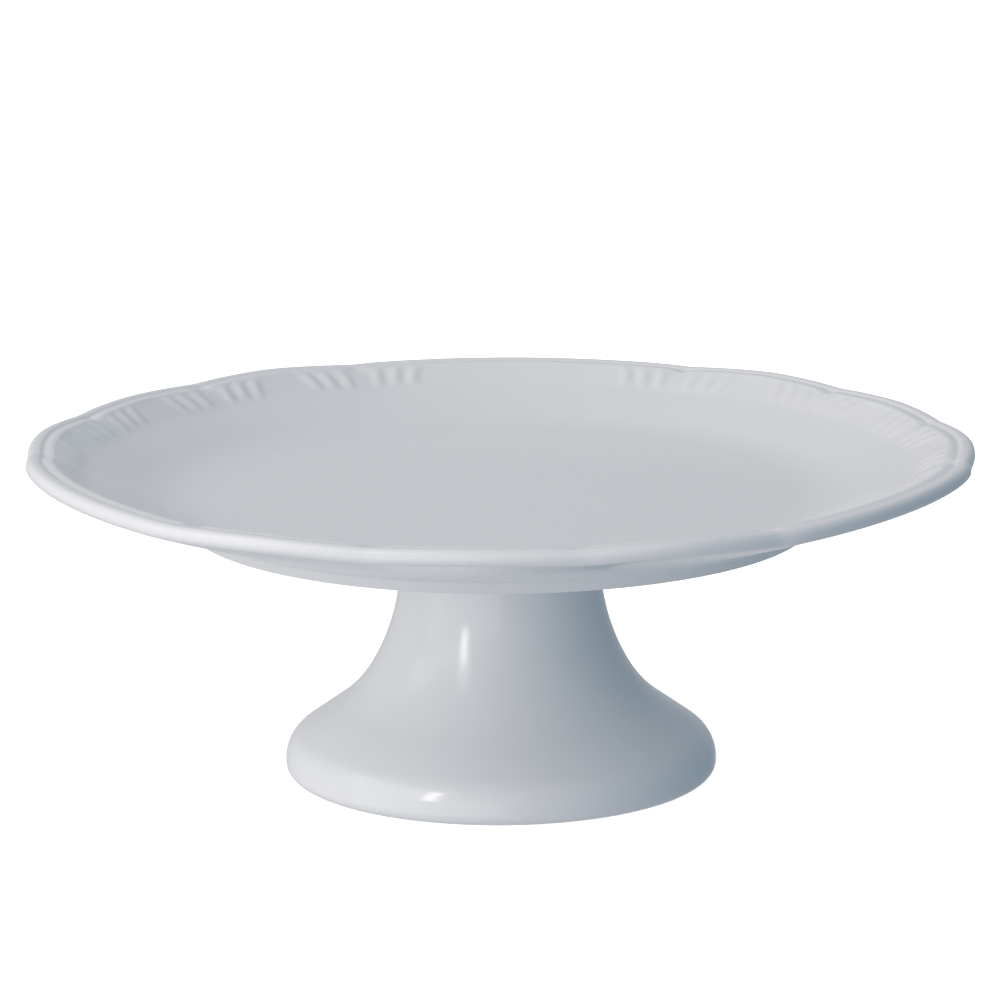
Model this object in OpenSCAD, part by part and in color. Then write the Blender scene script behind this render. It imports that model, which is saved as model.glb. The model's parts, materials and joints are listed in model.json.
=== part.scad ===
// Cake stand: a dished round plate with a lobed, beaded rim, bonded to a hollow bell-shaped pedestal.
// Millimetres, +Z up. The origin is the centre of the pedestal's standing ring, on the table.

/* [Stand] */
// Height from the table to the top of the rim
stand_h = 111.6; // [93:0.2:136]
// Diameter of the plate across its lobes
plate_d = 315; // [260:1:380]

/* [Rim] */
// Diameter of the rounded bead that edges the rim
bead_d = 5.4; // [4.4:0.1:6.6]
// Depth of a notch between two lobes
notch_depth = 1.2; // [0.6:0.1:2]
// Radius of the soft turn inside a notch
notch_r = 30; // [20:1:40]
// Width of a wide lobe, in degrees
wide_lobe = 46.5; // [36:0.5:56]
// Narrow lobes from one wide lobe to the next
narrow_lobes = 3; // [2:1:4]
// Drop from the top of the bead to the ledge inside it
ledge_drop = 1.2; // [0.9:0.1:1.6]
// Distance from the outer edge to the middle of the raised line
line_inset = 7.9; // [7:0.1:9.5]
// Radius of the raised line's rounded section
line_r = 2.4; // [2:0.1:3]
// Height of the raised line above the ledge
line_rise = 0.6; // [0.4:0.1:1]

/* [Well] */
// Depth from the top of the rim to the flat floor
well_depth = 17.1; // [14:0.1:20.5]
// Distance from the plate's outer edge to the flat floor
side_w = 59.5; // [56:0.5:72]
// Thickness of the floor
floor_t = 5.8; // [4.8:0.1:7]
// Radius of the cove where the floor turns up into the side
cove_r = 62; // [50:1:70]
// Width of the steeper band under the raised line
band_w = 11.4; // [9:0.1:13.5]
// Slope of the band, in degrees
band_slope = 27; // [25:0.5:30]

/* [Plate foot ring] */
// Distance from the plate's outer edge to the outer edge of its own foot ring
ring_inset = 54; // [45:0.5:64.5]
// Width of the ring at its edge
ring_w = 4.5; // [3.5:0.1:6]
// Height of the ring below the recess that it surrounds
ring_h = 3.7; // [2.5:0.1:5]

/* [Pedestal] */
// Greatest diameter of the pedestal, low on its base
foot_d = 144.2; // [134:0.2:174]
// Height of the widest point
toe_h = 5; // [4.2:0.1:6]
// Radius of the edge under the widest point
toe_r = 4; // [3:0.1:4]
// Radius of the shoulder above the widest point
shoulder_r = 11.8; // [9.8:0.1:13]
// Lean of the straight stretch above the shoulder, in degrees from upright
bell_lean = 54.5; // [50:0.5:58]
// Radius of the bend between the straight stretch and the neck
waist_r = 43.8; // [36:0.1:50]
// Lean at the top of that bend, in degrees from upright
waist_lean = 30; // [27:0.5:33]
// Narrowest diameter of the neck
neck_d = 67; // [56:0.2:81]
// Distance from the pedestal's top down to the narrowest point
neck_drop = 15.3; // [12.5:0.1:18.5]
// Radius of the flare from the neck up to the plate
flare_r = 26; // [21.5:0.5:31]
// Thickness of the pedestal's wall
wall = 5; // [4.1:0.1:6]
// Width of the base from its widest point to the inside of the standing ring
base_w = 8.6; // [7.5:0.1:10.4]
// Rounding of the standing ring's inner edge
base_round = 1.5; // [1:0.1:2]

/* [Bond] */
// Thickness of the layer that joins the pedestal to the plate
bond_t = 1; // [0.8:0.1:1.5]
// How far the layer is squeezed out past the pedestal's edges
bond_squeeze = 0.8; // [0.6:0.1:1.5]

/* [Hidden] */
$fn = 120;

GLAZE = "#e9ebec";
BOND = "#dcd9d2";

// How far one merged shape reaches into another, so that they join as one
weld = 0.2;

// Heights
floor_z = stand_h - well_depth;
recess_z = floor_z - floor_t;
ledge_z = stand_h - ledge_drop;
pedestal_h = recess_z - bond_t;

// ---- Plane geometry ----
// A unit vector at angle a, in degrees from the first axis
function dir(a) = [cos(a), sin(a)];
// Where a line from p touches the circle of radius r round c, on side -1 or 1 of it
function touch(p, c, r, side) =
    c + r * dir(atan2(p[1] - c[1], p[0] - c[0]) + side * acos(r / norm(p - c)));

// The sliver between the straight line p to q and the arc p to q of a circle round c
module bow(p, q, c, r) {
    out = (p + q) / 2 - c;
    rise = out * (r / norm(out));
    intersection() {
        translate(c) circle(r);
        polygon([p, q, q + rise, p + rise]);
    }
}

// ---- Outline of the rim: lobes and notches, each an arc that is tangent to the next ----
edge_r = plate_d / 2;
notch_centre = edge_r - notch_depth + notch_r;
narrow_lobe = (120 - wide_lobe) / narrow_lobes;

// Each lobe as [direction of its middle, half its width], in order round the rim
LOBES = [
    for (third = [0:2], i = [0:narrow_lobes])
        i == 0
            ? [90 + 120 * third, wide_lobe / 2]
            : [90 + 120 * third + wide_lobe / 2 + narrow_lobe * (i - 0.5), narrow_lobe / 2]
];

// Distance from the stand's axis to the centre of a lobe's arc, from half the lobe's width
function lobe_offset(half) =
    ((edge_r + notch_r) ^ 2 - notch_centre ^ 2) / (2 * (edge_r + notch_r - notch_centre * cos(half)));
function lobe_centre(lobe) = lobe_offset(lobe[1]) * dir(lobe[0]);
// The arc passes the edge by the weld in the lobe's middle, so that it crosses the bead cleanly
function lobe_r(lobe) = edge_r - lobe_offset(lobe[1]) + weld;
// Half the angle that a lobe's arc turns through
function lobe_sweep(lobe) =
    atan2(notch_centre * sin(lobe[1]), notch_centre * cos(lobe[1]) - lobe_offset(lobe[1]));
// The end of a lobe's arc, on side -1 or 1
function lobe_end(lobe, side) = lobe_centre(lobe) + lobe_r(lobe) * dir(lobe[0] + side * lobe_sweep(lobe));

module outline() {
    difference() {
        union() {
            polygon([for (lobe = LOBES, side = [-1, 1]) lobe_end(lobe, side)]);
            for (lobe = LOBES)
                bow(lobe_end(lobe, -1), lobe_end(lobe, 1), lobe_centre(lobe), lobe_r(lobe));
        }
        for (i = [0:len(LOBES) - 1])
            bow(
                lobe_end(LOBES[i], 1),
                lobe_end(LOBES[(i + 1) % len(LOBES)], -1),
                notch_centre * dir(LOBES[i][0] + LOBES[i][1]),
                notch_r - weld
            );
    }
}

// ---- Section of the plate, in radius and height ----
bead = [edge_r - bead_d / 2, stand_h - bead_d / 2];
line = [edge_r - line_inset, ledge_z + line_rise - line_r];
cove_foot = [edge_r - side_w, floor_z];
cove_centre = cove_foot + [0, cove_r];
// The band starts under the raised line, and the side below it runs straight into the cove
band_top = [line[0] - line_r / 2, ledge_z];
band_foot = band_top - band_w * [1, tan(band_slope)];
cove_end = touch(band_foot, cove_centre, cove_r, -1);
// The underside is straight from the foot ring to the bead
ring_r = edge_r - ring_inset;
under_foot = [ring_r, recess_z];
under_edge = touch(under_foot, bead, bead_d / 2 - weld, 1);

module plate_section() {
    difference() {
        polygon([
            [0, recess_z],
            [0, floor_z],
            cove_foot,
            cove_end,
            band_foot,
            band_top,
            [bead[0], ledge_z],
            bead,
            under_edge,
            under_foot
        ]);
        bow(cove_foot, cove_end, cove_centre, cove_r);
    }
    translate(bead) circle(bead_d / 2);
    translate(line) circle(line_r);
}

// The foot ring leans out a little towards the plate, and its edge is rounded
module ring_section() {
    edge_z = recess_z - ring_h;
    round_r = ring_w / 3;
    polygon([
        [ring_r - ring_w + round_r, edge_z],
        [ring_r - round_r, edge_z],
        [ring_r, edge_z + round_r],
        [ring_r + ring_h / 2, recess_z + ring_h / 2],
        [ring_r - ring_w, recess_z + ring_h / 2],
        [ring_r - ring_w, edge_z + round_r]
    ]);
    for (r = [ring_r - ring_w + round_r, ring_r - round_r])
        translate([r, edge_z + round_r]) circle(round_r);
}

module plate() {
    color(GLAZE) {
        intersection() {
            rotate_extrude() plate_section();
            translate([0, 0, recess_z - weld])
                linear_extrude(stand_h - recess_z + 2 * weld) outline();
        }
        rotate_extrude() ring_section();
    }
}

// ---- Side of the pedestal, in radius and height ----
neck_h = pedestal_h - neck_drop;
shoulder_centre = [foot_d / 2 - shoulder_r, toe_h];
flare_centre = [neck_d / 2 + flare_r, neck_h];
// The straight stretch and the neck's arc are as long as it takes for them to meet at the waist
waist_run =
    shoulder_centre + shoulder_r * dir(bell_lean) - [neck_d / 2, neck_h]
    + waist_r * (dir(bell_lean) - dir(waist_lean));
neck_r = (waist_run * dir(bell_lean)) / ((dir(0) - dir(waist_lean)) * dir(bell_lean));
straight = (waist_run[0] - neck_r * (1 - cos(waist_lean))) / sin(bell_lean);
waist_centre =
    shoulder_centre + (shoulder_r + waist_r) * dir(bell_lean) + straight * dir(bell_lean + 90);
neck_centre = [neck_d / 2 + neck_r, neck_h];

// The radius at the pedestal's top, at a depth inside the outer surface
function top_r(depth) = flare_centre[0] - sqrt((flare_r + depth) ^ 2 - neck_drop ^ 2);

// Everything within the side at a depth inside the outer surface, solid to the axis
module bell(depth) {
    toe = [foot_d / 2 - depth, toe_h];
    shoulder = shoulder_centre + (shoulder_r - depth) * dir(bell_lean);
    waist_foot = waist_centre - (waist_r + depth) * dir(bell_lean);
    waist_top = waist_centre - (waist_r + depth) * dir(waist_lean);
    neck = [neck_d / 2 - depth, neck_h];
    lip = [top_r(depth), pedestal_h];
    difference() {
        union() {
            polygon([[0, 0], [toe[0], 0], toe, shoulder, waist_foot, waist_top, neck, lip, [0, pedestal_h]]);
            bow(toe, shoulder, shoulder_centre, shoulder_r - depth);
        }
        bow(waist_foot, waist_top, waist_centre, waist_r + depth);
        bow(waist_top, neck, neck_centre, neck_r + depth);
        bow(neck, lip, flare_centre, flare_r + depth);
    }
}

// The thick base that ends in the standing ring, with both its edges rounded
module base_section() {
    inner_r = foot_d / 2 - base_w;
    base_h = toe_h + shoulder_r;
    translate([inner_r, base_round]) square([base_w, base_h - base_round]);
    translate([inner_r + base_round, 0]) square([base_w - base_round - toe_r, base_h]);
    translate([inner_r + base_round, base_round]) circle(base_round);
}

module pedestal_section() {
    difference() {
        union() {
            difference() {
                bell(0);
                bell(wall);
            }
            intersection() {
                bell(0);
                base_section();
            }
        }
        difference() {
            translate([foot_d / 2 - toe_r, 0]) square(toe_r);
            translate([foot_d / 2 - toe_r, toe_r]) circle(toe_r);
        }
        square([foot_d / 2 - base_w, base_round]);
        difference() {
            translate([foot_d / 2 - base_w, 0]) square(base_round);
            translate([foot_d / 2 - base_w + base_round, base_round]) circle(base_round);
        }
    }
}

module pedestal() {
    color(GLAZE) rotate_extrude() pedestal_section();
}

// ---- Bond between the pedestal's top and the plate's recess ----
module bond_ring() {
    inner_r = top_r(wall) - bond_squeeze + bond_t / 2;
    outer_r = top_r(0) + bond_squeeze - bond_t / 2;
    color(BOND)
        translate([0, 0, pedestal_h])
            rotate_extrude() {
                translate([inner_r, 0]) square([outer_r - inner_r, bond_t]);
                for (r = [inner_r, outer_r])
                    translate([r, bond_t / 2]) circle(bond_t / 2);
            }
}

plate();
bond_ring();
pedestal();
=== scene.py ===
"""Cake stand: a dished porcelain plate with a lobed, reeded rim, on a hollow bell-shaped pedestal."""

import json
import math

import bmesh
import bpy
import numpy as np
from bpy.props import FloatProperty, FloatVectorProperty, IntProperty, PointerProperty
from mathutils import Matrix, Vector


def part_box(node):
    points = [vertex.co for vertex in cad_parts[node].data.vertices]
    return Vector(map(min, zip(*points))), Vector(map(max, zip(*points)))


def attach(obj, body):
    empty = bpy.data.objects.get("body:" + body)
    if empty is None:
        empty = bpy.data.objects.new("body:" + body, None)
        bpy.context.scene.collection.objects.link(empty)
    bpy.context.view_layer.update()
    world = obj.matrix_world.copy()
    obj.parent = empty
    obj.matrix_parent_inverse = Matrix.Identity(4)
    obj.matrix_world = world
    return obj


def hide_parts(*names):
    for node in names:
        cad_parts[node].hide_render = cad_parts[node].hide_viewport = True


bl_info = {
    "name": "Cake Stand",
    "version": (1, 0, 0),
    "blender": (4, 5, 0),
    "location": "View3D > Sidebar > Cake Stand",
    "description": "Builds a glazed porcelain cake stand round its packed frame",
    "category": "Add Mesh",
}

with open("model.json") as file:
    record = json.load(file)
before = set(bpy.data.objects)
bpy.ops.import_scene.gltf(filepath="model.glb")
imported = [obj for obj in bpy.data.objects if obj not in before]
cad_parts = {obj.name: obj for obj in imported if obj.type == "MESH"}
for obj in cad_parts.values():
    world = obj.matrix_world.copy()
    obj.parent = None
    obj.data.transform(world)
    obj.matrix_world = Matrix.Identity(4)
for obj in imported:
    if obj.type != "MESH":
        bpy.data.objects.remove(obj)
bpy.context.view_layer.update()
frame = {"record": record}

MM = 0.001
# How many points each ring of a turned piece has
PLATE_AROUND = 960
PEDESTAL_AROUND = 360
PLATE_LOW, PLATE_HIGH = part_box("plate")
BOND_LOW, BOND_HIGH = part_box("bond_ring")
_, PEDESTAL_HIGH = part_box("pedestal")
FLOOR_Z = next(m["pos_m"][2] for m in frame["record"]["mounts"] if m["name"] == "cake_floor")


# ---- Sizes and colours ----


def length(name, description, default_mm):
    """A length property in metres, from a default in millimetres."""
    return FloatProperty(
        name=name,
        description=description,
        default=default_mm * MM,
        min=0,
        unit="LENGTH",
        subtype="DISTANCE",
        precision=4,
    )


def angle(name, description, default_deg):
    """An angle property in radians, from a default in degrees."""
    return FloatProperty(
        name=name,
        description=description,
        default=math.radians(default_deg),
        unit="ROTATION",
        subtype="ANGLE",
    )


def srgb(code):
    """An sRGB colour such as "#f0eee8" as linear red, green and blue."""
    parts = [int(code[i : i + 2], 16) / 255 for i in (1, 3, 5)]
    return [c / 12.92 if c <= 0.04045 else ((c + 0.055) / 1.055) ** 2.4 for c in parts]


def colour(name, description, code):
    """A colour property from its sRGB code."""
    return FloatVectorProperty(
        name=name, description=description, default=srgb(code), subtype="COLOR", min=0, max=1
    )


class RimPattern(bpy.types.PropertyGroup):
    """The lobes, notches and reeds round the plate's rim"""

    wide_lobe: angle("Wide lobe", "Width of each of the three wide lobes", 46.5)
    notch_depth: length("Notch depth", "How far a notch lies in from the plate's full radius", 1.6)
    notch_width: length("Notch width", "How far along a wide lobe its notches reach", 5)
    notch_drop: length("Notch drop", "How far a notch lies below the plate's full height", 1.0)
    wide_inset: length("Wide inset", "How far a wide lobe's middle lies in from the full radius", 2.0)
    wide_drop: length("Wide drop", "How far a wide lobe's middle lies below the full height", 0.25)
    middle_inset: length("Middle inset", "The same inset for the lobe opposite a wide lobe", 0.9)
    middle_drop: length("Middle drop", "The same drop for the lobe opposite a wide lobe", 0.4)
    line_rise: length("Line rise", "Height of the raised line inside the bead", 0.45)
    line_width: length("Line width", "Half the width of the raised line", 1.6)
    groove_depth: length("Groove depth", "Depth of the groove that cuts the raised line at a notch", 0.4)
    groove_width: length("Groove width", "Half the width of that groove", 3.4)
    reeds: IntProperty(name="Reeds", description="Reeds in each bundle", default=3, min=1, max=5)
    reed_rise: length("Reed rise", "Height of a reed above the band", 0.6)
    reed_first_in: angle("First reed, inner end", "From the notch to the first reed", 2.3)
    reed_pitch_in: angle("Reed pitch, inner end", "From one reed to the next", 2.45)
    reed_first_out: angle("First reed, outer end", "From the notch to the first reed", 2.9)
    reed_pitch_out: angle("Reed pitch, outer end", "From one reed to the next", 2.85)
    reed_bow: angle("Reed bow", "How far a reed's middle bends towards the notch", 0.25)


class PlateSizes(bpy.types.PropertyGroup):
    """The plate's section"""

    bead: length("Bead", "Diameter of the rounded bead", 5.4)
    side_width: length("Side width", "From the edge to the flat floor", 59.5)
    cove: length("Cove", "Radius of the turn from the floor into the side", 62)
    band_width: length("Band width", "Width of the reeded band", 11.4)
    band_slope: angle("Band slope", "Slope of the reeded band", 27)
    line_inset: length("Line inset", "From the edge to the raised line", 7.9)
    ledge_drop: length("Ledge drop", "From the top of the bead down to the ledge", 0.8)
    ring_inset: length("Ring inset", "From the edge to the foot ring", 54)
    ring_width: length("Ring width", "Width of the foot ring at its edge", 4.5)


class PedestalSizes(bpy.types.PropertyGroup):
    """The pedestal's section"""

    toe_height: length("Toe height", "Height of the widest point", 5)
    toe: length("Toe", "Radius of the edge under the widest point", 4)
    shoulder: length("Shoulder", "Radius of the turn above the widest point", 11.8)
    bell_lean: angle("Bell lean", "Lean of the straight stretch from upright", 54.5)
    waist: length("Waist", "Radius of the bend into the neck", 43.8)
    waist_lean: angle("Waist lean", "Lean at the top of that bend", 30)
    neck_radius: length("Neck radius", "Radius at the narrowest point", 33.5)
    neck_drop: length("Neck drop", "From the pedestal's top down to the narrowest point", 15.3)
    flare: length("Flare", "Radius of the flare up to the plate", 26)
    wall: length("Wall", "Thickness of the wall", 5)
    base_width: length("Base width", "From the widest point to the inside of the standing ring", 8.6)


class GlazeColours(bpy.types.PropertyGroup):
    """The colours of the porcelain and its glaze"""

    body: colour("Glaze", "Glaze at its usual thickness over white porcelain", "#e9e9ea")
    thick: colour("Thick glaze", "Where the glaze pools in a hollow", "#d8dce1")
    thin: colour("Thin glaze", "Where the glaze runs thin over an edge", "#fdf9f3")
    speck: colour("Speck", "An iron speck under the glaze", "#75685c")
    biscuit: colour("Biscuit", "The unglazed standing ring", "#e6dfd2")
    slip: colour("Slip", "The slip that joins the pedestal to the plate", "#dedad1")


class StageSettings(bpy.types.PropertyGroup):
    """The table's colour and the camera's place"""

    table: colour("Table", "The pale table top", "#f4f4f4")
    azimuth: angle("Camera azimuth", "The camera's direction from the front", 3)
    distance: length("Camera distance", "From the stand's axis, along the table", 1606.7)
    height: length("Camera height", "Above the table", 447.8)
    pitch: angle("Camera pitch", "How far the camera looks down", 12.475)
    roll: angle("Camera roll", "How far the camera leans to its right", 0.24)
    lens: FloatProperty(name="Lens", description="Focal length in millimetres", default=178.4)


# ---- Shaping ----


def smooth_step(low, high, x):
    """0 below low, 1 above high, and a smooth rise between."""
    t = np.clip((x - low) / (high - low), 0, 1)
    return t * t * (3 - 2 * t)


def rounded(corners):
    """Points along a bent line. Each corner but the ends is r, z, the radius of its turn and its steps."""
    path = [corners[0][:2]]
    for before, corner, after in zip(corners, corners[1:], corners[2:]):
        point = Vector(corner[:2])
        back = (Vector(before[:2]) - point).normalized()
        on = (Vector(after[:2]) - point).normalized()
        half = back.angle(on) / 2
        centre = point + (back + on).normalized() * (corner[2] / math.sin(half))
        start = point + back * (corner[2] / math.tan(half)) - centre
        end = point + on * (corner[2] / math.tan(half)) - centre
        turn = math.atan2(start.x * end.y - start.y * end.x, start.dot(end))
        for k in range(corner[3] + 1):
            path.append(centre + Matrix.Rotation(turn * k / corner[3], 2) @ start)
    path.append(corners[-1][:2])
    path = np.array([tuple(p) for p in path])
    return path[np.append(np.linalg.norm(np.diff(path, axis=0), axis=1) > 0.01 * MM, True)]


def spaced(path, step):
    """The same line with points added, so that none is further from the next than step(r) allows."""
    out = [path[0]]
    for a, b in zip(path, path[1:]):
        pieces = max(1, math.ceil(np.linalg.norm(b - a) / step((a[0] + b[0]) / 2)))
        out += [a + (b - a) * k / pieces for k in range(1, pieces + 1)]
    return np.array(out)


def ring_turn(around):
    """The directions of a ring's points, in one row."""
    return (np.arange(around) * (2 * math.pi / around))[None, :]


def section_normals(path):
    """Unit normals to the right of a section's direction of travel."""
    along = np.gradient(path, axis=0)
    along /= np.linalg.norm(along, axis=1)[:, None]
    return np.stack([along[:, 1], -along[:, 0]], axis=1)


def hollowness(path, reach):
    """How far each point of a section lies below the middle of its neighbours, reach away on each side."""
    gaps = np.linalg.norm(np.diff(path, axis=0), axis=1)
    at = np.concatenate([[0], np.cumsum(gaps)])

    def place(s):
        return np.stack([np.interp(s, at, path[:, 0]), np.interp(s, at, path[:, 1])], axis=1)

    middle = (place(at - reach) + place(at + reach)) / 2
    return np.sum((middle - path) * section_normals(path), axis=1)


def remove_loose(mesh):
    """Deletes the points that no face uses: all but one at each end of the axis."""
    work = bmesh.new()
    work.from_mesh(mesh)
    bmesh.ops.delete(work, geom=[v for v in work.verts if not v.link_faces], context="VERTS")
    work.to_mesh(mesh)
    work.free()


def lathe(name, radius, height, values, closed):
    """A smooth solid from rings of points: radius and height are arrays with a row for each ring.

    A closed section joins its last ring to its first. An open one starts and ends on the axis.
    values are point attributes, by name, in the same form as radius.
    """
    rings, around = radius.shape
    turn = ring_turn(around)
    points = np.stack([radius * np.cos(turn), radius * np.sin(turn), height], axis=2)
    here = np.arange(rings * around).reshape(rings, around)
    ahead = np.roll(here, -1, axis=1)
    above, above_ahead = np.roll(here, -1, axis=0), np.roll(ahead, -1, axis=0)
    rows = slice(0, rings) if closed else slice(1, rings - 2)
    quads = np.stack([here, ahead, above_ahead, above], axis=2)[rows].reshape(-1, 4)
    faces = quads.tolist()
    if not closed:
        first, last = int(here[0, 0]), int(here[-1, 0])
        faces += [[first, int(b), int(a)] for a, b in zip(here[1], ahead[1])]
        faces += [[last, int(a), int(b)] for a, b in zip(here[-2], ahead[-2])]
    mesh = bpy.data.meshes.new(name)
    mesh.from_pydata(points.reshape(-1, 3).tolist(), [], faces)
    for key, value in values.items():
        held = mesh.attributes.new(key, "FLOAT", "POINT")
        held.data.foreach_set("value", value.astype(np.float32).ravel())
    if not closed:
        remove_loose(mesh)
    mesh.polygons.foreach_set("use_smooth", [True] * len(mesh.polygons))
    mesh.update()
    piece = bpy.data.objects.new(name, mesh)
    bpy.context.collection.objects.link(piece)
    return piece


# ---- Rim pattern: what it adds to the plate's section, by direction round the rim ----


def rim_lobes(rim, turn):
    """For each direction: place across its lobe from -1 to 1, the lobe's kind, and the signed angle
    from the nearest notch.

    Kinds are 0 for a wide lobe, 1 for one beside it and 2 for the middle one.
    """
    third = 2 * math.pi / 3
    narrow = (third - rim.wide_lobe) / 3
    from_wide = (turn - math.pi / 2 + third / 2) % third - third / 2
    away = np.abs(from_wide)
    edges = [rim.wide_lobe / 2, rim.wide_lobe / 2 + narrow]
    kind = (away > edges[0]).astype(int) + (away > edges[1])
    middles = np.array([0, edges[0] + narrow / 2, third / 2])[kind]
    halves = np.array([rim.wide_lobe / 2, narrow / 2, narrow / 2])[kind]
    nearest = np.where(away < (edges[0] + edges[1]) / 2, edges[0], edges[1])
    return (away - middles) / halves, kind, away - nearest


def rim_shift(rim, turn):
    """How far the rim lies in and down from the plate's full radius and height, as negative lengths.

    The lobes beside a wide lobe reach both in their middles. A wide lobe is flatter than a circle.
    """
    across, kind, off = rim_lobes(rim, turn)
    toward_notch = np.abs(across) ** np.where(kind == 0, 2, 1.5)
    inset = np.array([0, 0, rim.middle_inset])[kind]
    reach = inset + (rim.notch_depth - inset) * toward_notch
    notch = rim.notch_depth * np.exp(-np.abs(off) * PLATE_HIGH.y / rim.notch_width)
    reach = np.where(kind == 0, rim.wide_inset * (1 - across**2) + notch, reach)
    drop = np.array([rim.wide_drop, 0, rim.middle_drop])[kind]
    return -reach, -drop - (rim.notch_drop - drop) * toward_notch


def reed_relief(rim, turn, along):
    """The reeds' relief and the bundles' area, both from 0 to 1, with a bundle on each side of a notch.

    along runs from 0 at the reeds' inner ends to 1 at their outer ones.
    """
    _, _, off = rim_lobes(rim, turn)
    along = np.clip(along, 0, 1)
    bow = 4 * rim.reed_bow * along * (1 - along)
    first = rim.reed_first_in + (rim.reed_first_out - rim.reed_first_in) * along - bow
    pitch = rim.reed_pitch_in + (rim.reed_pitch_out - rim.reed_pitch_in) * along
    place = (np.abs(off) - first) / pitch
    nearest = np.clip(np.round(place), 0, rim.reeds - 1)
    ridge = np.cos(np.clip((place - nearest) * math.pi, -math.pi / 2, math.pi / 2)) ** 2
    ends = smooth_step(0, 0.45, along) * (1 - smooth_step(0.7, 1, along))
    area = (1 - smooth_step(rim.reeds - 0.7, rim.reeds - 0.3, place)) * ends
    return ridge * ends, area


# ---- Pieces ----


def plate_section(sizes):
    """The plate's section in metres, from the middle of its underside round the bead to the well's.

    Also the radii of the reeded band's foot and top.
    """
    edge, top = PLATE_HIGH.y, PLATE_HIGH.z
    recess, ring_z = BOND_HIGH.z, PLATE_LOW.z
    ring_r = edge - sizes.ring_inset
    bead = sizes.bead / 2
    ledge = top - sizes.ledge_drop
    line_shoulder = 1.2 * MM
    band_top = edge - sizes.line_inset - line_shoulder
    band_foot = band_top - sizes.band_width
    band_foot_z = ledge - sizes.band_width * math.tan(sizes.band_slope)
    floor_r = edge - sizes.side_width
    # The side leaves the cove at the slope whose straight line meets the foot of the band
    lift = math.hypot(band_foot - floor_r, band_foot_z - FLOOR_Z - sizes.cove)
    slope = (
        math.atan2(band_foot_z - FLOOR_Z - sizes.cove, band_foot - floor_r)
        - math.acos(sizes.cove / lift)
        + math.pi / 2
    )
    cove_r = band_foot - (band_foot_z - FLOOR_Z) / math.tan(slope)
    # The underside is the line from the foot ring that touches the bead
    reach = Vector((edge - bead - ring_r, top - bead - recess))
    under = math.atan2(reach.y, reach.x) - math.asin(bead / reach.length)
    under_z = recess + (edge - ring_r) * math.tan(under)
    corners = [
        (0, recess),
        (ring_r - sizes.ring_width - 0.4 * MM, recess, 1.2 * MM, 3),  # the foot ring
        (ring_r - sizes.ring_width, ring_z, 1.4 * MM, 4),
        (ring_r, ring_z, 1.4 * MM, 4),
        (ring_r + 2.1 * MM, recess + 0.7 * MM, 3 * MM, 4),
        (edge, under_z, bead, 8),  # the bead
        (edge, top, bead, 8),
        (edge - 4.2 * MM, top, 2.2 * MM, 4),  # down to the ledge
        (edge - 5.6 * MM, ledge, 1.6 * MM, 4),
        (band_top, ledge, 2.0 * MM, 4),  # the reeded band
        (band_foot, band_foot_z, 50 * MM, 6),
        (cove_r, FLOOR_Z, sizes.cove, 12),  # the well
        (0, FLOOR_Z),
    ]
    return rounded(corners), band_foot, band_top


def build_plate(sizes, rim):
    """The plate, with its rim pattern as real relief."""
    path, band_foot, band_top = plate_section(sizes)
    edge = PLATE_HIGH.y
    plain_step, relief_step = 12 * MM, 0.95 * MM

    def step(r):
        return relief_step if band_foot - 1.5 * MM < r < edge - 3 * MM else plain_step

    # Only the upper side has relief, so only it needs close rings
    outermost = np.argmax(path[:, 0] > edge - 0.01 * MM)
    under = spaced(path[: outermost + 1], lambda r: plain_step)
    path = np.concatenate([under, spaced(path[outermost:], step)[1:]])
    normals = section_normals(path)
    turn = ring_turn(PLATE_AROUND)
    r, z = path[:, :1], path[:, 1:]
    _, _, off = rim_lobes(rim, turn)
    top_side = (normals[:, 1:] > 0.2).astype(float)  # 1 where the surface faces up
    groove = np.exp(-((off * edge / rim.groove_width) ** 2))

    # The lobes. Glaze rounds the notches off over a couple of millimetres, as the mean of a few turns does
    near = np.radians((-0.8, -0.4, 0, 0.4, 0.8))
    reach, rise = np.mean([rim_shift(rim, turn + aside) for aside in near], axis=0)
    lift = rise * smooth_step(edge - 38 * MM, edge - 10 * MM, r)
    pinch = reach * smooth_step(edge - 30 * MM, edge - 8 * MM, r)

    # The raised line, which bends out to each notch and stops there in a groove across the ledge
    line_r = edge - sizes.line_inset + 1.6 * MM * groove
    line = np.exp(-(((r - line_r) / rim.line_width) ** 2)) * (1 - groove)
    ledge_start = smooth_step(edge - 13 * MM, edge - 9 * MM, r)
    ledge_end = smooth_step(edge - 5.2 * MM, edge - 2.5 * MM, r)
    cut = groove * (ledge_start * (1 - ledge_end))

    # The reeds, which fade out a little beyond the band's foot and top
    reed_foot, reed_top = band_foot - 0.5 * MM, band_top + 0.8 * MM
    reed, bundle = reed_relief(rim, turn, (r - reed_foot) / (reed_top - reed_foot))
    relief = top_side * (rim.line_rise * line + rim.reed_rise * reed)

    radius = r + pinch + normals[:, :1] * relief
    height = z + lift + normals[:, 1:] * relief - top_side * rim.groove_depth * cut

    # Glaze pools in the section's hollows, between the reeds and in the groove
    hollow = hollowness(path, 2 * MM)[:, None] / (0.5 * MM)
    pool = 0.5 + 0.5 * np.clip(hollow + top_side * (0.8 * (0.6 * bundle - reed) + 0.6 * cut), -1, 1)
    return lathe("glazed_plate", radius, height, {"glaze_pool": pool}, closed=False)


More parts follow.
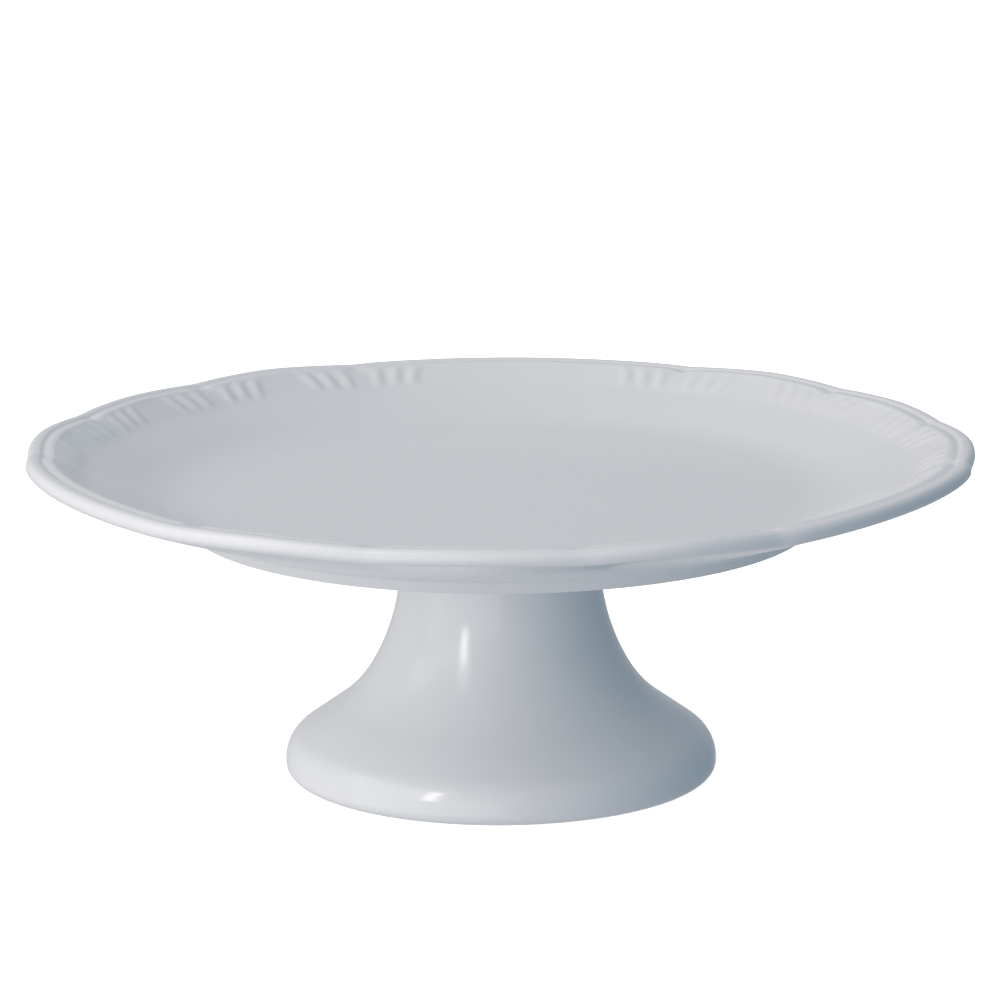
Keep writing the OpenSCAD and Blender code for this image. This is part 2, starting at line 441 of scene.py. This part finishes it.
def build_pedestal(sizes):
    """The pedestal: a hollow bell, open below and at its top, with a thick base."""
    foot, top = PEDESTAL_HIGH.y, PEDESTAL_HIGH.z
    neck_h = top - sizes.neck_drop
    lean, waist_lean = sizes.bell_lean, sizes.waist_lean

    # The arc of the neck is as large as it takes for the straight stretch below to meet the shoulder
    def direction(a):
        return Vector((math.cos(a), math.sin(a)))

    start = Vector((foot - sizes.shoulder, sizes.toe_height)) + direction(lean) * sizes.shoulder
    neck = Vector((sizes.neck_radius, neck_h))
    run = start - neck + (direction(lean) - direction(waist_lean)) * sizes.waist
    arc = run.dot(direction(lean)) / (direction(0) - direction(waist_lean)).dot(direction(lean))
    neck_corner = Vector((sizes.neck_radius, neck_h - arc * math.tan(waist_lean / 2)))
    between = arc * math.tan(waist_lean / 2) + sizes.waist * math.tan((lean - waist_lean) / 2)
    waist_corner = neck_corner + Vector((math.sin(waist_lean), -math.cos(waist_lean))) * between
    shoulder_z = waist_corner.y - (foot - waist_corner.x) / math.tan(lean)
    flare_turn = math.asin(sizes.neck_drop / sizes.flare)
    flare_corner_z = neck_h + sizes.flare * math.tan(flare_turn / 2)
    lip_r = sizes.neck_radius + sizes.flare * (1 - math.cos(flare_turn))
    ring_r = foot - sizes.base_width
    outer = rounded(
        [
            ((ring_r + foot) / 2, 0),
            (foot, 0, sizes.toe, 8),
            (foot, shoulder_z, sizes.shoulder, 12),
            (*waist_corner, sizes.waist, 12),
            (*neck_corner, arc, 14),
            (sizes.neck_radius, flare_corner_z, sizes.flare, 10),
            (lip_r, top),
        ]
    )
    # The inside follows the outside a wall away, down to the thick base and its standing ring
    inner = outer - section_normals(outer) * sizes.wall
    within = (inner[:, 0] < ring_r - 0.5 * MM) & (inner[:, 1] > sizes.toe_height) & (inner[:, 1] < top - MM)
    inner = inner[within][::-1]
    lip = (inner[0][0] + 0.6 * MM, top)
    ring_edge = 1.5 * MM
    base = rounded(
        [
            tuple(inner[-1]),
            (ring_r, inner[-1][1] - 2 * MM, ring_edge, 3),
            (ring_r, 0, ring_edge, 5),
            ((ring_r + foot) / 2, 0),
        ]
    )
    path = spaced(np.concatenate([outer, [lip], inner, base[1:]]), lambda r: 4 * MM)[:-1]
    # Bare clay below a height of about 1 mm on the standing ring
    wiped = np.clip(0.5 + (1.1 * MM - path[:, 1]) / (2 * MM), 0, 1)
    bare = np.where((path[:, 0] > ring_r - MM) & (path[:, 1] < 6 * MM), wiped, 0)
    hollow = np.clip(hollowness(np.concatenate([path, path[:1]]), 6 * MM)[:-1] / (1.2 * MM), -1, 1)
    flat = np.ones((1, PEDESTAL_AROUND))
    values = {"bare": bare[:, None] * flat, "glaze_pool": (0.5 + 0.5 * hollow[:, None]) * flat}
    return lathe("glazed_pedestal", path[:, :1] * flat, path[:, 1:] * flat, values, closed=True)


def build_bond():
    """The slip between the pedestal's lip and the plate, a little uneven where it was squeezed out."""
    turn = ring_turn(PEDESTAL_AROUND)
    outer, low, high = BOND_HIGH.y, BOND_LOW.z, BOND_HIGH.z
    width, edge, unevenness = 8.2 * MM, 0.45 * MM, 0.5 * MM
    inner = outer - width
    middle = (inner + outer) / 2
    corners = [(r, z, edge, 5) for r, z in ((outer, low), (outer, high), (inner, high), (inner, low))]
    path = rounded([(middle, low), *corners, (middle, low)])[:-1]
    side = np.sign(path[:, :1] - middle)
    wave = 0.5 + 0.3 * np.sin(5 * turn + 0.7) + 0.2 * np.sin(13 * turn + 2.1)
    radius = path[:, :1] - side * unevenness * wave
    return lathe("slip_joint", radius, path[:, 1:] + 0 * turn, {}, closed=True)


# ---- Materials ----


def node(tree, kind, settings=None):
    """Adds a node. A setting is a property of the node, or one of its inputs by name or number.

    An input that is given another node's output is linked to it.
    """
    made = tree.nodes.new(kind)
    for key, value in (settings or {}).items():
        if isinstance(value, bpy.types.NodeSocket):
            tree.links.new(value, made.inputs[key])
        elif isinstance(key, str) and hasattr(made, key):
            setattr(made, key, value)
        else:
            made.inputs[key].default_value = value
    return made


def ramp(tree, factor, *stops):
    """A colour ramp's output, from stops of a position and a linear colour."""
    made = node(tree, "ShaderNodeValToRGB", {"Fac": factor})
    elements = made.color_ramp.elements
    for position, _ in stops[1:-1]:
        elements.new(position)
    for element, (position, colour_at) in zip(elements, stops):
        element.position = position
        element.color = (*colour_at, 1)
    return made.outputs["Color"]


def new_material(name):
    """An empty node material and its tree."""
    material = bpy.data.materials.new(name)
    material.use_nodes = True
    material.node_tree.nodes.clear()
    return material, material.node_tree


def glazed_porcelain(colours):
    """Porcelain, pressed or cast, dipped in clear gloss glaze and fired.

    The glaze is a touch blue where it pools and warm where it runs thin, its surface has a faint
    orange peel and slow waves, and a few iron specks show through it. The standing ring is wiped bare.
    """
    material, tree = new_material("glazed_porcelain")
    place = node(tree, "ShaderNodeTexCoord").outputs["Object"]

    def noise(size_mm, detail):
        settings = {"Scale": 1000 / size_mm, "Detail": detail, "Vector": place}
        return node(tree, "ShaderNodeTexNoise", settings).outputs["Fac"]

    def ranged(value, low, high, to_low, to_high):
        settings = {"Value": value, "From Min": low, "From Max": high, "To Min": to_low, "To Max": to_high}
        return node(tree, "ShaderNodeMapRange", settings).outputs["Result"]

    def maths(operation, first, second):
        return node(tree, "ShaderNodeMath", {"operation": operation, 0: first, 1: second}).outputs[0]

    def held(name):
        return node(tree, "ShaderNodeAttribute", {"attribute_name": name}).outputs["Fac"]

    # How thick the glaze lies: by the shape, and by clouds of 45 mm
    clouds = ranged(noise(45, 2.0), 0.3, 0.7, -0.12, 0.12)
    depth = maths("ADD", held("glaze_pool"), clouds)
    glaze = ramp(tree, depth, (0.12, colours.thin), (0.5, colours.body), (0.9, colours.thick))
    # Specks 0.5 mm across, one or two to a hand's breadth
    cells = node(tree, "ShaderNodeTexVoronoi", {"Scale": 1000 / 16, "Vector": place})
    chance = node(tree, "ShaderNodeSeparateColor", {"Color": cells.outputs["Color"]}).outputs["Red"]
    near = ranged(cells.outputs["Distance"], 0.012, 0.022, 1.0, 0.0)
    speck = maths("MULTIPLY", near, maths("GREATER_THAN", chance, 0.86))
    specked = node(
        tree, "ShaderNodeMix", {"data_type": "RGBA", 0: speck, 6: glaze, 7: (*colours.speck, 1)}
    ).outputs[2]
    # The edge of the bare ring wanders by a fraction of a millimetre
    bare = ranged(maths("ADD", held("bare"), maths("MULTIPLY", noise(6, 3.0), 0.5)), 0.82, 0.92, 0.0, 1.0)
    skin = node(
        tree, "ShaderNodeMix", {"data_type": "RGBA", 0: bare, 6: specked, 7: (*colours.biscuit, 1)}
    ).outputs[2]
    # Gloss, a little softer in thumb-sized patches, and matt where bare
    gloss = ranged(noise(30, 3.0), 0.3, 0.7, 0.05, 0.10)
    rough = node(tree, "ShaderNodeMix", {"data_type": "FLOAT", 0: bare, 2: gloss, 3: 0.8}).outputs[0]
    # Orange peel of 3 mm and slow waves of 22 mm, drawn as bump a few hundredths of a millimetre deep
    slow = node(tree, "ShaderNodeBump", {"Distance": 0.08 * MM, "Height": noise(22, 1.0)}).outputs[0]
    fine = node(
        tree, "ShaderNodeBump", {"Distance": 0.006 * MM, "Height": noise(3, 1.0), "Normal": slow}
    ).outputs[0]
    surface = node(
        tree,
        "ShaderNodeBsdfPrincipled",
        {
            "IOR": 1.52,
            "Subsurface Weight": 0.12,
            "Subsurface Scale": 2 * MM,
            "Base Color": skin,
            "Roughness": rough,
            "Normal": fine,
        },
    )
    node(tree, "ShaderNodeOutputMaterial", {"Surface": surface.outputs[0]})
    return material


def fired_slip(colours):
    """Porcelain slip, brushed on and fired without glaze: matt, off-white and finely grained."""
    material, tree = new_material("fired_slip")
    place = node(tree, "ShaderNodeTexCoord").outputs["Object"]
    grain = node(tree, "ShaderNodeTexNoise", {"Scale": 1000 / 0.8, "Detail": 3.0, "Vector": place})
    stain = node(tree, "ShaderNodeTexNoise", {"Scale": 1000 / 12, "Detail": 3.0, "Vector": place})
    stained = [c * 0.86 for c in colours.slip]
    tint = ramp(tree, stain.outputs["Fac"], (0.3, stained), (0.7, colours.slip))
    bump = node(
        tree, "ShaderNodeBump", {"Strength": 0.6, "Distance": 0.1 * MM, "Height": grain.outputs["Fac"]}
    )
    surface = node(
        tree,
        "ShaderNodeBsdfPrincipled",
        {"IOR": 1.5, "Roughness": 0.78, "Base Color": tint, "Normal": bump.outputs[0]},
    )
    node(tree, "ShaderNodeOutputMaterial", {"Surface": surface.outputs[0]})
    return material


def table_paper(settings):
    """Matt seamless paper: pale, with a faint fibre mottle."""
    material, tree = new_material("seamless_paper")
    place = node(tree, "ShaderNodeTexCoord").outputs["Object"]
    fibre = node(tree, "ShaderNodeTexNoise", {"Scale": 1000 / 20, "Detail": 4.0, "Vector": place})
    duller = [c * 0.985 for c in settings.table]
    tint = ramp(tree, fibre.outputs["Fac"], (0.0, duller), (1.0, settings.table))
    surface = node(
        tree, "ShaderNodeBsdfPrincipled", {"Roughness": 0.9, "Specular IOR Level": 0.1, "Base Color": tint}
    )
    node(tree, "ShaderNodeOutputMaterial", {"Surface": surface.outputs[0]})
    return material


# ---- Stage ----


def build_table(settings):
    """A pale table top, wide enough to fill the view. It sends no light back up to the stand."""
    half, cells = 4.0, 8  # metres, and squares along a side
    mesh = bpy.data.meshes.new("table_top")
    ticks = np.linspace(-half, half, cells + 1)
    points = [(x, y, 0) for y in ticks for x in ticks]
    row = cells + 1
    faces = [
        (j * row + i, j * row + i + 1, (j + 1) * row + i + 1, (j + 1) * row + i)
        for j in range(cells)
        for i in range(cells)
    ]
    mesh.from_pydata(points, [], faces)
    table = bpy.data.objects.new("table_top", mesh)
    bpy.context.collection.objects.link(table)
    mesh.materials.append(table_paper(settings))
    table.visible_diffuse = False
    table.visible_glossy = False
    table.visible_shadow = False
    return table


def add_softbox(name, azimuth, elevation, distance, size, radiance, tint):
    """A rectangular soft light that faces the stand, by its direction as the camera's is given."""
    lamp = bpy.data.lights.new(name, "AREA")
    lamp.shape = "RECTANGLE"
    lamp.size, lamp.size_y = size
    lamp.energy = radiance * math.pi * size[0] * size[1]
    lamp.color = tint
    light = bpy.data.objects.new(name, lamp)
    a, e = math.radians(azimuth), math.radians(elevation)
    back = Vector((math.sin(a) * math.cos(e), -math.cos(a) * math.cos(e), math.sin(e)))
    light.location = Vector((0, 0, 0.08)) + back * distance
    light.rotation_mode = "QUATERNION"
    light.rotation_quaternion = back.to_track_quat("Z", "Y")
    bpy.context.collection.objects.link(light)
    return light


def light_only(light, lit, blockers):
    """Limits a light to one object, and its shadows to those of the objects in blockers."""
    roles = (("lit", [lit], "receiver_collection"), ("blockers", blockers, "blocker_collection"))
    for name, objects, role in roles:
        group = bpy.data.collections.new(f"{light.name}_{name}")
        for item in objects:
            group.objects.link(item)
        setattr(light.light_linking, role, group)


def build_lights(scene, table):
    """A tall window at the left front, brighter above than below, and a soft room round it.

    A narrow strip draws the highlight down the pedestal, as if the plate threw no shadow of it,
    and one more light falls on the table alone, to keep it pale.
    """
    add_softbox("window", -64, 42, 2.0, (2.0, 1.87), 1.0, (1.0, 0.96, 0.92))
    add_softbox("window_low", -38, -6, 2.0, (3.6, 1.74), 0.64, (1.0, 0.97, 0.95))
    strip = add_softbox("window_strip", -35, 23, 1.9, (0.22, 0.9), 8.5, (1.0, 0.98, 0.96))
    strip.visible_diffuse = False  # it shows as a reflection and adds no light of its own
    pedestal = bpy.data.objects.get("glazed_pedestal")
    if pedestal:
        light_only(strip, pedestal, [pedestal])
    washing = add_softbox("table_wash", 0, 90, 3.0, (6.0, 6.0), 2.6, (1.0, 1.0, 1.0))
    light_only(washing, table, [table])
    scene.world = soft_room()
    scene.view_settings.view_transform = "Standard"


def soft_room():
    """A pale room: darker and bluer to the right, with a warm glow high in front from its ceiling."""
    world = bpy.data.worlds.new("soft_room")
    world.use_nodes = True
    tree = world.node_tree
    tree.nodes.clear()
    way = node(tree, "ShaderNodeTexCoord").outputs["Generated"]
    side = node(tree, "ShaderNodeSeparateXYZ", {"Vector": way}).outputs["X"]
    shift = node(tree, "ShaderNodeMapRange", {"Value": side, "From Min": -1.0}).outputs["Result"]
    walls = ramp(
        tree,
        shift,
        (0.0, srgb("#d2d3d6")),
        (0.5, srgb("#bcbdc3")),
        (0.8, srgb("#8795a0")),
        (1.0, srgb("#3f768e")),
    )
    ahead = node(tree, "ShaderNodeVectorMath", {"operation": "DOT_PRODUCT", 0: way, 1: (0, -0.71, 0.71)})
    glow = node(
        tree,
        "ShaderNodeMapRange",
        {"Value": ahead.outputs["Value"], "From Min": 0.57, "From Max": 1.0, "To Max": 0.25},
    )
    room = node(tree, "ShaderNodeBackground", {"Color": walls})
    ceiling = node(
        tree,
        "ShaderNodeBackground",
        {"Color": (*srgb("#ffede0"), 1), "Strength": glow.outputs["Result"]},
    )
    both = node(tree, "ShaderNodeAddShader", {0: room.outputs[0], 1: ceiling.outputs[0]})
    node(tree, "ShaderNodeOutputWorld", {"Surface": both.outputs[0]})
    return world


def build_camera(scene, settings):
    """A long lens a little above the rim, almost square to the front."""
    lens = bpy.data.cameras.new("camera")
    lens.lens, lens.sensor_width = settings.lens, 36
    camera = bpy.data.objects.new("camera", lens)
    a = settings.azimuth
    camera.matrix_world = (
        Matrix.Translation(
            (math.sin(a) * settings.distance, -math.cos(a) * settings.distance, settings.height)
        )
        @ Matrix.Rotation(a, 4, "Z")
        @ Matrix.Rotation(math.pi / 2 - settings.pitch, 4, "X")
        @ Matrix.Rotation(-settings.roll, 4, "Z")
    )
    bpy.context.collection.objects.link(camera)
    scene.camera = camera


# ---- Operators ----


def dress(piece, material, cad_node):
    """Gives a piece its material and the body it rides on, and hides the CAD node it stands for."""
    piece.data.materials.append(material)
    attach(piece, "root")
    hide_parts(cad_node)


def shared_glaze(scene):
    """The glaze material, made once."""
    return bpy.data.materials.get("glazed_porcelain") or glazed_porcelain(scene.stand_glaze)


class STAND_OT_plate(bpy.types.Operator):
    """Build the plate with its lobed, reeded rim"""

    bl_idname = "stand.plate"
    bl_label = "Build plate"

    def execute(self, context):
        scene = context.scene
        plate = build_plate(scene.stand_plate, scene.stand_rim)
        dress(plate, shared_glaze(scene), "plate")
        return {"FINISHED"}


class STAND_OT_pedestal(bpy.types.Operator):
    """Build the hollow pedestal"""

    bl_idname = "stand.pedestal"
    bl_label = "Build pedestal"

    def execute(self, context):
        scene = context.scene
        pedestal = build_pedestal(scene.stand_pedestal)
        dress(pedestal, shared_glaze(scene), "pedestal")
        return {"FINISHED"}


class STAND_OT_bond(bpy.types.Operator):
    """Build the layer of slip that joins the pedestal to the plate"""

    bl_idname = "stand.bond"
    bl_label = "Build slip joint"

    def execute(self, context):
        slip = fired_slip(context.scene.stand_glaze)
        dress(build_bond(), slip, "bond_ring")
        return {"FINISHED"}


class STAND_OT_stage(bpy.types.Operator):
    """Build the table, the lights and the camera"""

    bl_idname = "stand.stage"
    bl_label = "Build stage"

    def execute(self, context):
        settings = context.scene.stand_stage
        build_lights(context.scene, build_table(settings))
        build_camera(context.scene, settings)
        return {"FINISHED"}


class STAND_PT_sidebar(bpy.types.Panel):
    """The cake stand's pieces and sizes"""

    bl_label = "Cake Stand"
    bl_space_type = "VIEW_3D"
    bl_region_type = "UI"
    bl_category = "Cake Stand"

    def draw(self, context):
        for operator in OPERATORS:
            self.layout.operator(operator.bl_idname)
        for attribute in SETTINGS:
            box = self.layout.box()
            group = getattr(context.scene, attribute)
            for name in group.__annotations__:
                box.prop(group, name)


SETTINGS = {
    "stand_rim": RimPattern,
    "stand_plate": PlateSizes,
    "stand_pedestal": PedestalSizes,
    "stand_glaze": GlazeColours,
    "stand_stage": StageSettings,
}
OPERATORS = (STAND_OT_plate, STAND_OT_bond, STAND_OT_pedestal, STAND_OT_stage)


def register():
    for attribute, group in SETTINGS.items():
        bpy.utils.register_class(group)
        setattr(bpy.types.Scene, attribute, PointerProperty(type=group))
    for item in (*OPERATORS, STAND_PT_sidebar):
        bpy.utils.register_class(item)


def unregister():
    for item in (STAND_PT_sidebar, *reversed(OPERATORS)):
        bpy.utils.unregister_class(item)
    for attribute, group in reversed(SETTINGS.items()):
        delattr(bpy.types.Scene, attribute)
        bpy.utils.unregister_class(group)


def main():
    """Builds everything in order."""
    register()
    bpy.ops.stand.plate()
    bpy.ops.stand.bond()
    bpy.ops.stand.pedestal()
    bpy.ops.stand.stage()


if __name__ == "__main__":
    main()
